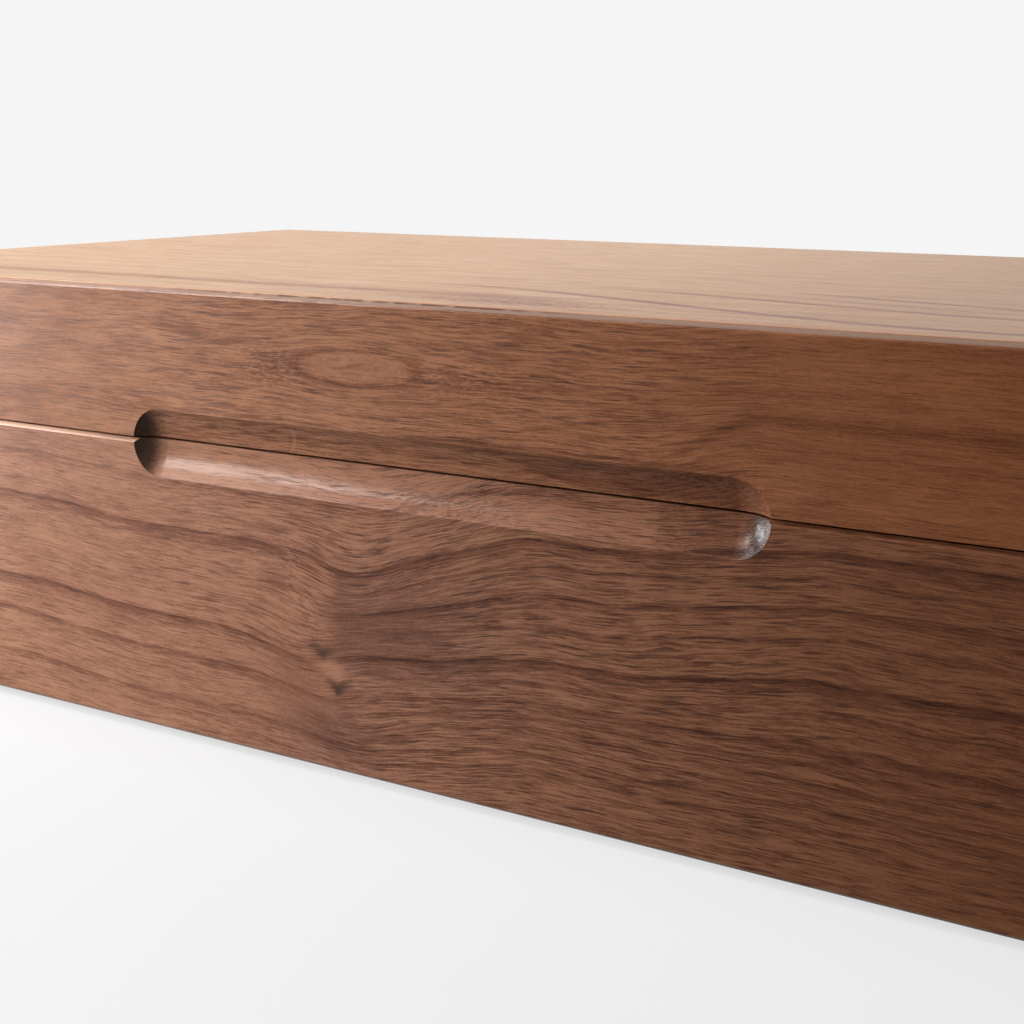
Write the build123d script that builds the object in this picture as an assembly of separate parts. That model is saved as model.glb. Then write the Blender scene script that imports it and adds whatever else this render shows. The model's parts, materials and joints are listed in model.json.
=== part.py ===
from build123d import *
import os
from math import atan2, cos, radians, sin, sqrt, tan

# Walnut watch box with a hinged lid over twelve cushions and a full-width drawer below them.
# The drawer's tall front covers the lower two thirds of the box's face, and one shallow finger
# groove lies across the seam: its upper half lifts the lid, its lower half pulls the drawer.
# Millimetres. +Z is up, the face looks along -Y, and the origin is on the surface that the
# box stands on, under the middle of its bounding box.

# Outside
BOX_WIDTH = 395.0
BOX_DEPTH = 195.0
BASE_HEIGHT = 66.3
SEAM_GAP = 0.5
LID_HEIGHT = 33.2
TOP_CHAMFER = 1.2
EDGE_CHAMFER = 0.9
CORNER_CHAMFER = 0.7
FOOT_RADIUS = 9.0
FOOT_HEIGHT = 1.5
FOOT_INSET = 24.0

# Finger groove: a shallow cove with dished ends, cut across the seam
GROOVE_LENGTH = 154.0
GROOVE_HEIGHT = 15.0
GROOVE_DEPTH = 3.0
GROOVE_DROP = 0.75

# Case boards
WALL = 10.0
BOTTOM_THICKNESS = 4.0
BOTTOM_REBATE = 5.0
TRAY_THICKNESS = 4.0
TRAY_HOUSING = 3.0
DRAWER_SPACE_HEIGHT = 30.5
RAIL_THICKNESS = 8.0
RAIL_LIP = 4.0

# Lid boards
LID_WALL = 10.0
LID_TOP_THICKNESS = 9.0
LID_LINING_THICKNESS = 1.5

# Watch compartment
COLUMNS = 6
ROWS = 2
LINING_THICKNESS = 1.2
FLOOR_LINING_THICKNESS = 1.0
LINING_RIM = 3.0
DIVIDER_THICKNESS = 4.0
LAP_CLEARANCE = 0.1
CUSHION_HEIGHT = 38.0
CUSHION_GAP = 2.4
CUSHION_NOSE_RADIUS = 15.0
CUSHION_DRAW = 6.0
CUSHION_FLAT = 1.0
CUSHION_STATIONS = 7

# Drawer
FRONT_THICKNESS = 10.0
FRONT_REVEAL = 0.5
FRONT_CLEARANCE = 0.6
DRAWER_SIDE_THICKNESS = 10.0
DRAWER_END_THICKNESS = 8.0
DRAWER_SIDE_GAP = 0.8
DRAWER_FLOOR_GAP = 0.8
DRAWER_TOP_GAP = 1.0
DRAWER_BACK_GAP = 3.0
DRAWER_BOTTOM_THICKNESS = 3.0
DRAWER_BOTTOM_RAISE = 3.0
DRAWER_BOTTOM_HOUSING = 3.0
DRAWER_DIVIDERS = 2
DRAWER_DIVIDER_DROP = 4.0
DRAWER_LINING_DROP = 1.5
DRAWER_TRAVEL = 125.0
RUNNER_THICKNESS = 5.0
RUNNER_HEIGHT = 8.0
RUNNER_RAISE = 8.0
RUNNER_CLEARANCE = 0.3
RUNNER_BACK_GAP = 2.0
PEG_RADIUS = 2.5
PEG_SINK = 6.0
PEG_TOP_GAP = 1.2
PEG_CLEARANCE = 0.05
PEG_STOP_SLACK = 0.5

# Felt dots
DOT_RADIUS = 3.0
DOT_AIR = 0.1
DOT_INSET = 12.0

# Hinges: cut-in butts whose heels stop the lid
HINGE_INSET = 80.0
HINGE_LENGTH = 40.0
HINGE_REACH = 4.0
LEAF_THICKNESS = 2.0
LEAF_WIDTH = 8.6
BARREL_RADIUS = 2.5
BARREL_AIR = 0.3
PIN_RADIUS = 1.25
PIN_CLEARANCE = 0.03
END_KNUCKLE_LENGTH = 10.0
KNUCKLE_GAP = 0.15
HEEL_HEIGHT = 6.0
LID_OPEN_ANGLE = 95.0
STOP_SLACK_ANGLE = 0.6
MORTISE_CLEARANCE = 0.1
HINGE_SCREW_SPACING = 13.0

# Screws: shank radius, head radius and length
HINGE_SCREW = (1.1, 2.1, 11.0)
RUNNER_SCREW = (1.2, 2.4, 10.0)
FRONT_SCREW = (1.7, 3.4, 14.0)
SCREW_CLEARANCE = 0.06
RUNNER_SCREW_COUNT = 3
FRONT_SCREW_COUNT = 4
FRONT_SCREW_INSET = 50.0
SLOT_WIDTH = 0.6
SLOT_DEPTH = 0.6

# Places that follow from the sizes
FRONT_Y = -(BOX_DEPTH + HINGE_REACH) / 2
BACK_Y = FRONT_Y + BOX_DEPTH
SIDE_X = BOX_WIDTH / 2
BASE_Z = FOOT_HEIGHT
SEAM_Z = BASE_Z + BASE_HEIGHT
LID_Z = SEAM_Z + SEAM_GAP
LID_TOP_Z = LID_Z + LID_HEIGHT
LID_CEILING_Z = LID_TOP_Z - LID_TOP_THICKNESS
LID_INNER_X = SIDE_X - LID_WALL
AXIS_Z = (SEAM_Z + LID_Z) / 2
INNER_X = SIDE_X - WALL
INNER_BACK_Y = BACK_Y - WALL
DRAWER_FRONT_Y = FRONT_Y + FRONT_THICKNESS
CASE_FRONT_Y = DRAWER_FRONT_Y + FRONT_CLEARANCE
RAIL_BACK_Y = CASE_FRONT_Y + RAIL_THICKNESS
CASE_FLOOR_Z = BASE_Z + BOTTOM_THICKNESS
TRAY_Z = CASE_FLOOR_Z + DRAWER_SPACE_HEIGHT
TRAY_TOP_Z = TRAY_Z + TRAY_THICKNESS
RAIL_Z = TRAY_Z - RAIL_LIP
CUSHION_Z = TRAY_TOP_Z + FLOOR_LINING_THICKNESS
DIVIDER_TOP_Z = SEAM_Z - LINING_RIM
LAP_Z = (CUSHION_Z + DIVIDER_TOP_Z) / 2
CELL_X = INNER_X - LINING_THICKNESS
CELL_FRONT_Y = RAIL_BACK_Y + LINING_THICKNESS
CELL_BACK_Y = INNER_BACK_Y - LINING_THICKNESS
CELL_WIDTH = (2 * CELL_X - (COLUMNS - 1) * DIVIDER_THICKNESS) / COLUMNS
CELL_DEPTH = (CELL_BACK_Y - CELL_FRONT_Y - (ROWS - 1) * DIVIDER_THICKNESS) / ROWS
DRAWER_X = INNER_X - DRAWER_SIDE_GAP
DRAWER_INNER_X = DRAWER_X - DRAWER_SIDE_THICKNESS
DRAWER_BACK_Y = INNER_BACK_Y - DRAWER_BACK_GAP
DRAWER_INNER_FRONT_Y = DRAWER_FRONT_Y + DRAWER_END_THICKNESS
DRAWER_INNER_BACK_Y = DRAWER_BACK_Y - DRAWER_END_THICKNESS
DRAWER_Z = CASE_FLOOR_Z + DRAWER_FLOOR_GAP
DRAWER_TOP_Z = RAIL_Z - DRAWER_TOP_GAP
DRAWER_FLOOR_Z = DRAWER_Z + DRAWER_BOTTOM_RAISE + DRAWER_BOTTOM_THICKNESS
DRAWER_LINING_Z = DRAWER_FLOOR_Z + FLOOR_LINING_THICKNESS
RUNNER_Z = CASE_FLOOR_Z + RUNNER_RAISE
RUNNER_BACK_Y = INNER_BACK_Y - RUNNER_BACK_GAP
PEG_Y = RAIL_BACK_Y + DRAWER_TRAVEL + PEG_STOP_SLACK + PEG_RADIUS


# Shapes that the pieces are cut from

def block(x0, x1, y0, y1, z0, z1):
    """A box between two corners."""
    middle = Pos((x0 + x1) / 2, (y0 + y1) / 2, (z0 + z1) / 2)
    return middle * Box(x1 - x0, y1 - y0, z1 - z0)


def prism_x(outline, x0, x1):
    """An outline of (y, z) points, drawn out along X."""
    return extrude(Plane.YZ.offset(x0) * make_face(Polyline(*outline, close=True)), x1 - x0)


def prism_y(outline, y0, y1):
    """An outline of (x, z) points, drawn out along Y."""
    return extrude(Plane.XZ.offset(-y1) * make_face(Polyline(*outline, close=True)), y1 - y0)


def prism_z(outline, z0, z1):
    """An outline of (x, y) points, drawn out along Z."""
    return extrude(Plane.XY.offset(z0) * make_face(Polyline(*outline, close=True)), z1 - z0)


def eased_rectangle(u0, u1, v0, v1, low, high):
    """A rectangle's corner points, with low cut off its two lower corners and high off the upper ones."""
    corners = [
        (u0 + low, v0),
        (u1 - low, v0),
        (u1, v0 + low),
        (u1, v1 - high),
        (u1 - high, v1),
        (u0 + high, v1),
        (u0, v1 - high),
        (u0, v0 + low),
    ]
    return [point for i, point in enumerate(corners) if point != corners[i - 1]]


def eased_block(half, y0, y1, z0, z1, corner, low, high):
    """A box with its uprights, its lower edges and its upper edges chamfered."""
    plan = prism_z(eased_rectangle(-half, half, y0, y1, corner, corner), z0, z1)
    front = prism_y(eased_rectangle(-half, half, z0, z1, low, high), y0, y1)
    side = prism_x(eased_rectangle(y0, y1, z0, z1, low, high), -half, half)
    return plan & front & side


def rod_x(radius, x0, x1, y, z):
    """A round bar along X."""
    return Pos((x0 + x1) / 2, y, z) * Rot(0, 90, 0) * Cylinder(radius, x1 - x0)


def mirrored(shape):
    """The same shape on the other side of the box."""
    return mirror(shape, Plane.YZ)


def both_sides(shape):
    return [shape, mirrored(shape)]


def lining_frame(x, y0, y1, z0, z1):
    """Four thin boards round a compartment. The long two run from side to side."""
    t = LINING_THICKNESS
    front = block(-x, x, y0, y0 + t, z0, z1)
    back = block(-x, x, y1 - t, y1, z0, z1)
    return [front, back] + both_sides(block(x - t, x, y0 + t, y1 - t, z0, z1))


def screw(size, extra=0.0):
    """A slotted countersunk wood screw that points down from the origin. With extra it is its own hole."""
    shank, head, length = size
    outline = Polyline(
        (0, 0),
        (head + extra, 0),
        (shank + extra, shank - head),
        (shank + extra, shank - length),
        (0, -length - extra),
        close=True,
    )
    body = revolve(Plane.XZ * make_face(outline), Axis.Z)
    if extra:
        return body
    return body - Box(4 * head, SLOT_WIDTH, 2 * SLOT_DEPTH)


def groove_cutter():
    """The finger groove: a long round bar with ball ends, let into the face by the groove's depth."""
    half = GROOVE_HEIGHT / 2
    radius = (half**2 + GROOVE_DEPTH**2) / (2 * GROOVE_DEPTH)
    straight = GROOVE_LENGTH / 2 - half
    slant = radius * sqrt(0.5)
    outline = [
        Line((-straight - radius, 0), (straight + radius, 0)),
        ThreePointArc((straight + radius, 0), (straight + slant, slant), (straight, radius)),
        Line((straight, radius), (-straight, radius)),
        ThreePointArc((-straight, radius), (-straight - slant, slant), (-straight - radius, 0)),
    ]
    bar = revolve(make_face(outline), Axis.X)
    return Pos(0, FRONT_Y + GROOVE_DEPTH - radius, AXIS_Z - GROOVE_DROP) * bar


def lid_envelope():
    """The lid's outside, that every lid board is trimmed to."""
    return eased_block(SIDE_X, FRONT_Y, BACK_Y, LID_Z, LID_TOP_Z, CORNER_CHAMFER, 0.0, TOP_CHAMFER)


def base_envelope(half):
    """The base's outside, that the case's outer boards and the drawer's front are trimmed to."""
    return eased_block(half, FRONT_Y, BACK_Y, BASE_Z, SEAM_Z, CORNER_CHAMFER, CORNER_CHAMFER, EDGE_CHAMFER)


# Hinges

def hinge_xs():
    """The middle of each hinge along the box."""
    reach = SIDE_X - HINGE_INSET
    return {"left": -reach, "right": reach}


def hinge_screw_places(x):
    y = BACK_Y - (LEAF_WIDTH + BARREL_RADIUS) / 2
    return [(x + i * HINGE_SCREW_SPACING, y) for i in (-1, 0, 1)]


def placed_screw(x, y, side, extra=0.0):
    """A hinge screw: side 1 goes up into the lid, -1 down into the case."""
    if side > 0:
        return Pos(x, y, LID_Z) * Rot(180, 0, 0) * screw(HINGE_SCREW, extra)
    return Pos(x, y, SEAM_Z) * screw(HINGE_SCREW, extra)


def leaf_levels(side):
    """The lowest and highest level of a leaf's plate."""
    if side > 0:
        return LID_Z, LID_Z + LEAF_THICKNESS
    return SEAM_Z - LEAF_THICKNESS, SEAM_Z


def heel(side):
    """The wedge behind a leaf's barrel. The two wedges meet when the lid is fully open."""
    rise = HINGE_REACH * tan(radians((LID_OPEN_ANGLE + STOP_SLACK_ANGLE) / 2))
    tip = max(HEEL_HEIGHT, rise + 1)
    return [
        (BACK_Y, AXIS_Z),
        (BACK_Y + HINGE_REACH, AXIS_Z + side * rise),
        (BACK_Y + HINGE_REACH, AXIS_Z + side * tip),
        (BACK_Y, AXIS_Z + side * tip),
    ]


def leaf(x, side):
    """One leaf: the lid's has the middle knuckle, the case's has the two end ones."""
    x0, x1 = x - HINGE_LENGTH / 2, x + HINGE_LENGTH / 2
    a, b = x0 + END_KNUCKLE_LENGTH, x1 - END_KNUCKLE_LENGTH
    gap, relief = KNUCKLE_GAP, BARREL_RADIUS + BARREL_AIR
    low, high = leaf_levels(side)
    body = block(x0, x1, BACK_Y - LEAF_WIDTH, BACK_Y, low, high) + prism_x(heel(side), x0, x1)
    if side > 0:
        body -= rod_x(relief, x0 - 1, a + gap, BACK_Y, AXIS_Z)
        body -= rod_x(relief, b - gap, x1 + 1, BACK_Y, AXIS_Z)
        body += rod_x(BARREL_RADIUS, a + gap, b - gap, BACK_Y, AXIS_Z)
    else:
        body -= rod_x(relief, a - gap, b + gap, BACK_Y, AXIS_Z)
        body += rod_x(BARREL_RADIUS, x0, a - gap, BACK_Y, AXIS_Z)
        body += rod_x(BARREL_RADIUS, b + gap, x1, BACK_Y, AXIS_Z)
    body -= rod_x(PIN_RADIUS + PIN_CLEARANCE, x0 - 1, x1 + 1, BACK_Y, AXIS_Z)
    for sx, sy in hinge_screw_places(x):
        body -= placed_screw(sx, sy, side, SCREW_CLEARANCE)
    return body


def hinge_pin(x):
    return rod_x(PIN_RADIUS, x - HINGE_LENGTH / 2, x + HINGE_LENGTH / 2, BACK_Y, AXIS_Z)


def hinge_mortise(x, side):
    """What a hinge takes out of the board that one of its leaves lies in."""
    c = MORTISE_CLEARANCE
    x0, x1 = x - HINGE_LENGTH / 2 - c, x + HINGE_LENGTH / 2 + c
    low, high = leaf_levels(side)
    cut = block(x0, x1, BACK_Y - LEAF_WIDTH - c, BACK_Y + 1, low, high)
    cut += rod_x(BARREL_RADIUS + BARREL_AIR, x0, x1, BACK_Y, AXIS_Z)
    for sx, sy in hinge_screw_places(x):
        cut += placed_screw(sx, sy, side, SCREW_CLEARANCE)
    return cut


def hinge_screws(side):
    return [placed_screw(sx, sy, side) for x in hinge_xs().values() for sx, sy in hinge_screw_places(x)]


# Case

def runner_screw_ys():
    step = (RUNNER_BACK_Y - CASE_FRONT_Y) / RUNNER_SCREW_COUNT
    return [CASE_FRONT_Y + (i + 0.5) * step for i in range(RUNNER_SCREW_COUNT)]


def runner_screw(y, extra=0.0):
    """A screw through the right runner into the side board."""
    place = Pos(INNER_X - RUNNER_THICKNESS, y, RUNNER_Z + RUNNER_HEIGHT / 2)
    return place * Rot(0, -90, 0) * screw(RUNNER_SCREW, extra)


def runner_screws():
    return [s for y in runner_screw_ys() for s in both_sides(runner_screw(y))]


def tray_floor():
    """The board between the watches and the drawer, housed in the walls."""
    x = INNER_X + TRAY_HOUSING
    return block(-x, x, RAIL_BACK_Y - TRAY_HOUSING, INNER_BACK_Y + TRAY_HOUSING, TRAY_Z, TRAY_TOP_Z)


def bottom_panel(drop=0.0):
    """The bottom board, let into the walls from below."""
    x = INNER_X + BOTTOM_REBATE
    return block(-x, x, CASE_FRONT_Y, INNER_BACK_Y + BOTTOM_REBATE, BASE_Z - drop, CASE_FLOOR_Z)


def side_panel():
    """The right side board, mitred to the back board."""
    outline = [(SIDE_X, FRONT_Y), (SIDE_X, BACK_Y), (INNER_X, INNER_BACK_Y), (INNER_X, FRONT_Y)]
    body = prism_z(outline, BASE_Z, SEAM_Z) & base_envelope(SIDE_X)
    body = body - tray_floor() - bottom_panel(drop=1.0)
    for y in runner_screw_ys():
        body -= runner_screw(y, SCREW_CLEARANCE)
    return body


def back_panel():
    outline = [(-SIDE_X, BACK_Y), (SIDE_X, BACK_Y), (INNER_X, INNER_BACK_Y), (-INNER_X, INNER_BACK_Y)]
    body = prism_z(outline, BASE_Z, SEAM_Z) & base_envelope(SIDE_X)
    body = body - tray_floor() - bottom_panel(drop=1.0)
    for x in hinge_xs().values():
        body -= hinge_mortise(x, -1)
    return body


def front_rail():
    """The watch compartment's front wall. Its lower lip stops the drawer's pegs."""
    return block(-INNER_X, INNER_X, CASE_FRONT_Y, RAIL_BACK_Y, RAIL_Z, SEAM_Z) - tray_floor()


def runner():
    x = INNER_X - RUNNER_THICKNESS
    body = block(x, INNER_X, CASE_FRONT_Y, RUNNER_BACK_Y, RUNNER_Z, RUNNER_Z + RUNNER_HEIGHT)
    for y in runner_screw_ys():
        body -= runner_screw(y, SCREW_CLEARANCE)
    return body


def foot_pads():
    pad = Cylinder(FOOT_RADIUS, FOOT_HEIGHT)
    rows = (FRONT_Y + FOOT_INSET, BACK_Y - FOOT_INSET)
    return [foot for y in rows for foot in both_sides(Pos(SIDE_X - FOOT_INSET, y, FOOT_HEIGHT / 2) * pad)]


def lid_dots():
    """Felt dots on the side boards' front ends, that the closed lid lies on."""
    height = SEAM_GAP - DOT_AIR
    x = SIDE_X - min(WALL, LID_WALL) / 2
    return both_sides(Pos(x, FRONT_Y + DOT_INSET, SEAM_Z + height / 2) * Cylinder(DOT_RADIUS, height))


# Watch compartment

def floor_lining():
    return block(-INNER_X, INNER_X, RAIL_BACK_Y, INNER_BACK_Y, TRAY_TOP_Z, CUSHION_Z)


def wall_lining():
    return lining_frame(INNER_X, RAIL_BACK_Y, INNER_BACK_Y, CUSHION_Z, DIVIDER_TOP_Z)


def divider_xs():
    pitch = CELL_WIDTH + DIVIDER_THICKNESS
    return [-CELL_X - DIVIDER_THICKNESS / 2 + (i + 1) * pitch for i in range(COLUMNS - 1)]


def divider_ys():
    pitch = CELL_DEPTH + DIVIDER_THICKNESS
    return [CELL_FRONT_Y - DIVIDER_THICKNESS / 2 + (i + 1) * pitch for i in range(ROWS - 1)]


def row_divider(y):
    """A long divider, notched from above for each cross divider."""
    t = DIVIDER_THICKNESS / 2
    body = block(-CELL_X, CELL_X, y - t, y + t, CUSHION_Z, DIVIDER_TOP_Z)
    for x in divider_xs():
        reach = t + LAP_CLEARANCE
        body -= block(x - reach, x + reach, y - t, y + t, LAP_Z, DIVIDER_TOP_Z)
    return body


def cross_divider(x):
    """A cross divider, notched from below over each long divider."""
    t = DIVIDER_THICKNESS / 2
    body = block(x - t, x + t, CELL_FRONT_Y, CELL_BACK_Y, CUSHION_Z, DIVIDER_TOP_Z)
    for y in divider_ys():
        reach = t + LAP_CLEARANCE
        body -= block(x - t, x + t, y - reach, y + reach, CUSHION_Z, LAP_Z)
    return body


def cushion_section(x, inset):
    """The cushion's oval section at x: four tangent arcs, drawn in from the fullest oval by inset."""
    nose = min(CUSHION_NOSE_RADIUS, 0.4 * CUSHION_HEIGHT)
    reach = CELL_DEPTH / 2 - CUSHION_GAP - nose
    half = (CUSHION_HEIGHT + CUSHION_FLAT) / 2
    crown = (reach**2 + half**2 - nose**2) / (2 * (half - nose))
    drop = crown - half
    turn = atan2(reach, drop)
    crown, nose = crown - inset, nose - inset
    joint = (crown * sin(turn), crown * cos(turn) - drop)
    arcs = [
        ThreePointArc((-joint[0], joint[1]), (0, crown - drop), joint),
        ThreePointArc(joint, (reach + nose, 0), (joint[0], -joint[1])),
        ThreePointArc((joint[0], -joint[1]), (0, drop - crown), (-joint[0], -joint[1])),
        ThreePointArc((-joint[0], -joint[1]), (-reach - nose, 0), (-joint[0], joint[1])),
    ]
    return Plane.YZ.offset(x) * make_face(arcs)


def cushion():
    """A stuffed oval roll: crowned above and below, fullest in the middle, drawn in to its ends."""
    half = CELL_WIDTH / 2 - CUSHION_GAP
    draw = min(CUSHION_DRAW, 0.8 * min(CUSHION_NOSE_RADIUS, 0.4 * CUSHION_HEIGHT))
    steps = [-1 + 2 * i / (CUSHION_STATIONS - 1) for i in range(CUSHION_STATIONS)]
    roll = loft([cushion_section(u * half, draw * u**4) for u in steps])
    roll = Pos(0, 0, (CUSHION_HEIGHT - CUSHION_FLAT) / 2) * roll
    return roll - block(-CELL_WIDTH, CELL_WIDTH, -CELL_DEPTH, CELL_DEPTH, -2 * CUSHION_FLAT, 0)


def watch_cushions():
    """One cushion for each cell, numbered from the front left, row by row."""
    one = cushion()
    made = []
    for row in range(ROWS):
        y = CELL_FRONT_Y + CELL_DEPTH / 2 + row * (CELL_DEPTH + DIVIDER_THICKNESS)
        for column in range(COLUMNS):
            x = -CELL_X + CELL_WIDTH / 2 + column * (CELL_WIDTH + DIVIDER_THICKNESS)
            made.append(Pos(x, y, CUSHION_Z) * one)
    return made


# Lid

def lid_section(start, inward):
    """A lid wall's section from the outside inwards, mitred under the lid's top."""
    inner = start + inward * LID_WALL
    return [(start, LID_Z), (start, LID_TOP_Z), (inner, LID_CEILING_Z), (inner, LID_Z)]


def lid_long_wall(start, inward):
    """The lid's front or back board."""
    inner = start + inward * LID_WALL
    outline = [(-SIDE_X, start), (SIDE_X, start), (LID_INNER_X, inner), (-LID_INNER_X, inner)]
    body = prism_z(outline, LID_Z, LID_TOP_Z) & prism_x(lid_section(start, inward), -SIDE_X, SIDE_X)
    return body & lid_envelope()


def lid_front():
    return lid_long_wall(FRONT_Y, 1) - groove_cutter()


def lid_back():
    body = lid_long_wall(BACK_Y, -1)
    for x in hinge_xs().values():
        body -= hinge_mortise(x, 1)
    return body


def lid_side():
    """The right end board of the lid."""
    front, back = FRONT_Y + LID_WALL, BACK_Y - LID_WALL
    outline = [(SIDE_X, FRONT_Y), (SIDE_X, BACK_Y), (LID_INNER_X, back), (LID_INNER_X, front)]
    body = prism_z(outline, LID_Z, LID_TOP_Z) & prism_y(lid_section(SIDE_X, -1), FRONT_Y, BACK_Y)
    return body & lid_envelope()


def lid_top():
    """The top board, mitred all round to the four lid walls."""
    low, high, wall = LID_CEILING_Z, LID_TOP_Z, LID_WALL
    across = [(-SIDE_X, high), (SIDE_X, high), (LID_INNER_X, low), (-LID_INNER_X, low)]
    along = [(FRONT_Y, high), (BACK_Y, high), (BACK_Y - wall, low), (FRONT_Y + wall, low)]
    return prism_y(across, FRONT_Y, BACK_Y) & prism_x(along, -SIDE_X, SIDE_X) & lid_envelope()


def lid_top_lining():
    front, back = FRONT_Y + LID_WALL, BACK_Y - LID_WALL
    low = LID_CEILING_Z - LID_LINING_THICKNESS
    return block(-LID_INNER_X, LID_INNER_X, front, back, low, LID_CEILING_Z)


def lid_wall_lining():
    front, back = FRONT_Y + LID_WALL, BACK_Y - LID_WALL
    return lining_frame(LID_INNER_X, front, back, LID_Z + LINING_RIM, LID_CEILING_Z - LID_LINING_THICKNESS)


# Drawer

def front_screw_places():
    """Where the screws through the sub-front into the drawer's front stand, evenly from side to side."""
    reach = DRAWER_INNER_X - FRONT_SCREW_INSET
    step = 2 * reach / (FRONT_SCREW_COUNT - 1)
    z = (DRAWER_LINING_Z + DRAWER_TOP_Z) / 2
    return [(-reach + i * step, z) for i in range(FRONT_SCREW_COUNT)]


def front_screw(x, z, extra=0.0):
    """A screw from inside the drawer, towards the front."""
    return Pos(x, DRAWER_INNER_FRONT_Y, z) * Rot(-90, 0, 0) * screw(FRONT_SCREW, extra)


def drawer_front():
    """The tall front that covers the drawer, the tray floor's edge and the front rail."""
    half = INNER_X - FRONT_REVEAL
    body = block(-half, half, FRONT_Y, DRAWER_FRONT_Y, BASE_Z, SEAM_Z) & base_envelope(half)
    body -= groove_cutter()
    for x, z in front_screw_places():
        body -= front_screw(x, z, SCREW_CLEARANCE)
    return body


def drawer_bottom():
    """The drawer's bottom board, housed in its four walls."""
    x, reach = DRAWER_INNER_X + DRAWER_BOTTOM_HOUSING, DRAWER_BOTTOM_HOUSING
    y0, y1 = DRAWER_INNER_FRONT_Y - reach, DRAWER_INNER_BACK_Y + reach
    return block(-x, x, y0, y1, DRAWER_FLOOR_Z - DRAWER_BOTTOM_THICKNESS, DRAWER_FLOOR_Z)


def drawer_end(y0, y1):
    """A board between the drawer's sides."""
    return block(-DRAWER_INNER_X, DRAWER_INNER_X, y0, y1, DRAWER_Z, DRAWER_TOP_Z) - drawer_bottom()


def drawer_subfront():
    body = drawer_end(DRAWER_FRONT_Y, DRAWER_INNER_FRONT_Y)
    for x, z in front_screw_places():
        body -= front_screw(x, z, SCREW_CLEARANCE)
    return body


def drawer_back():
    return drawer_end(DRAWER_INNER_BACK_Y, DRAWER_BACK_Y)


def stop_peg(extra=0.0):
    """The right stop peg, in the drawer side's top edge."""
    low, high = DRAWER_TOP_Z - PEG_SINK, TRAY_Z - PEG_TOP_GAP
    x = DRAWER_X - DRAWER_SIDE_THICKNESS / 2
    return Pos(x, PEG_Y, (low + high) / 2) * Cylinder(PEG_RADIUS + extra, high - low)


def drawer_side():
    """The right drawer side, grooved outside for the runner and inside for the bottom."""
    c = RUNNER_CLEARANCE
    body = block(DRAWER_INNER_X, DRAWER_X, DRAWER_FRONT_Y, DRAWER_BACK_Y, DRAWER_Z, DRAWER_TOP_Z)
    x = INNER_X - RUNNER_THICKNESS - c
    body -= block(x, DRAWER_X, DRAWER_FRONT_Y, DRAWER_BACK_Y, RUNNER_Z - c, RUNNER_Z + RUNNER_HEIGHT + c)
    return body - drawer_bottom() - stop_peg(PEG_CLEARANCE)


def drawer_floor_lining():
    x = DRAWER_INNER_X
    return block(-x, x, DRAWER_INNER_FRONT_Y, DRAWER_INNER_BACK_Y, DRAWER_FLOOR_Z, DRAWER_LINING_Z)


def drawer_wall_lining():
    low, high = DRAWER_LINING_Z, DRAWER_TOP_Z - DRAWER_LINING_DROP
    return lining_frame(DRAWER_INNER_X, DRAWER_INNER_FRONT_Y, DRAWER_INNER_BACK_Y, low, high)


def drawer_divider(index):
    """A board from front to back that parts the drawer's compartments."""
    half = DRAWER_INNER_X - LINING_THICKNESS
    cell = (2 * half - DRAWER_DIVIDERS * DIVIDER_THICKNESS) / (DRAWER_DIVIDERS + 1)
    x = -half + (index + 1) * cell + index * DIVIDER_THICKNESS
    y0, y1 = DRAWER_INNER_FRONT_Y + LINING_THICKNESS, DRAWER_INNER_BACK_Y - LINING_THICKNESS
    return block(x, x + DIVIDER_THICKNESS, y0, y1, DRAWER_LINING_Z, DRAWER_TOP_Z - DRAWER_DIVIDER_DROP)


def drawer_dots():
    """Felt dots behind the drawer's front that meet the front rail."""
    depth = FRONT_CLEARANCE - DOT_AIR
    place = Pos(INNER_X - DOT_INSET, DRAWER_FRONT_Y + depth / 2, SEAM_Z - DOT_INSET)
    return both_sides(place * Rot(90, 0, 0) * Cylinder(DOT_RADIUS, depth))


# The whole box

def case_parts():
    side, rail = side_panel(), runner()
    return {
        "side_panel_right": side,
        "side_panel_left": mirrored(side),
        "back_panel": back_panel(),
        "bottom_panel": bottom_panel(),
        "tray_floor": tray_floor(),
        "front_rail": front_rail(),
        "runner_right": rail,
        "runner_left": mirrored(rail),
        "runner_screws": runner_screws(),
        "floor_lining": floor_lining(),
        "wall_lining": wall_lining(),
        "hinge_case_screws": hinge_screws(-1),
        "lid_bumpers": lid_dots(),
        "foot_pads": foot_pads(),
    }


def lid_parts():
    end = lid_side()
    return {
        "lid_top": lid_top(),
        "lid_front": lid_front(),
        "lid_back": lid_back(),
        "lid_right": end,
        "lid_left": mirrored(end),
        "lid_top_lining": lid_top_lining(),
        "lid_wall_lining": lid_wall_lining(),
        "hinge_lid_screws": hinge_screws(1),
    }


def drawer_parts():
    side = drawer_side()
    return {
        "drawer_front": drawer_front(),
        "drawer_subfront": drawer_subfront(),
        "drawer_back": drawer_back(),
        "drawer_side_right": side,
        "drawer_side_left": mirrored(side),
        "drawer_bottom": drawer_bottom(),
        "drawer_floor_lining": drawer_floor_lining(),
        "drawer_wall_lining": drawer_wall_lining(),
        "drawer_stop_pegs": both_sides(stop_peg()),
        "drawer_bumpers": drawer_dots(),
        "drawer_front_screws": [front_screw(x, z) for x, z in front_screw_places()],
    }


def numbered(name, shapes):
    return {f"{name}_{i + 1}": shape for i, shape in enumerate(shapes)}


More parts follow.
